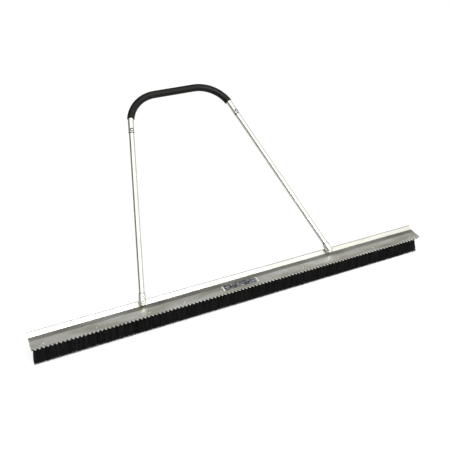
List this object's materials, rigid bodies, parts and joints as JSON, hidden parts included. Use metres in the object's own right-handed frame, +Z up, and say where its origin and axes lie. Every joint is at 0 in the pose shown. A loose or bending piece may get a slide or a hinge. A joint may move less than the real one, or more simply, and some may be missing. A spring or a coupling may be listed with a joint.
{
  "type": "two-hand drag brush",
  "caption": "Long two-hand drag brush: aluminium rail with a serrated front blade over a dense bristle strip, splayed tube legs and a U handle with a foam grip.",
  "frame": {"origin": "on the brush's flat sole, where the bristle tips meet the ground, under the middle of the head", "axes": "+X along the head to the right, +Y away from the toothed edge towards the handle's side, +Z up"},
  "size_m": [2.1642, 0.9732, 0.8046],
  "materials": {
    "extrusion": "mill finish",
    "blade_sheet": "brushed",
    "rivet_metal": "satin",
    "coated_channel": "black powder coat",
    "strip_plastic": "matte",
    "bristle": "matte",
    "plug_plastic": "matte",
    "zinc_steel": "zinc plated",
    "label_print": "satin film",
    "cast_aluminium": "as cast and tumbled",
    "tube_aluminium": "drawn, bright",
    "foam": "closed-cell foam",
    "button_steel": "polished",
    "spring_steel": "blued"
  },
  "bodies": {
    "frame": {"top_rail": "extrusion", "serrated_blade": "blade_sheet", "blade_rivets": "rivet_metal", "brush_channel": "coated_channel", "brush_back": "strip_plastic", "bristle_strip": "bristle", "left_channel_plug": "plug_plastic", "right_channel_plug": "plug_plastic", "plug_screws": "zinc_steel", "label": "label_print", "left_socket": "cast_aluminium", "right_socket": "cast_aluminium", "socket_bolts": "zinc_steel", "socket_washers": "zinc_steel", "socket_nuts": "zinc_steel", "left_leg": "tube_aluminium", "right_leg": "tube_aluminium", "u_handle": "tube_aluminium", "foam_grip": "foam", "left_button_spring": "spring_steel", "right_button_spring": "spring_steel"},
    "left_button_body": {"left_button": "button_steel"},
    "right_button_body": {"right_button": "button_steel"}
  },
  "joints": [
    {"name": "left_button_press", "type": "slide", "parent": "frame", "child": "left_button_body", "axis": [0, 0.5962, -0.8028], "range_m": [0, 0.0048], "stiffness_N_per_m": 900, "springref_m": -0.006, "deforming": ["left_button_spring"]},
    {"name": "right_button_press", "type": "slide", "parent": "frame", "child": "right_button_body", "axis": [0, 0.5962, -0.8028], "range_m": [0, 0.0048], "stiffness_N_per_m": 900, "springref_m": -0.006, "deforming": ["right_button_spring"]}
  ]
}
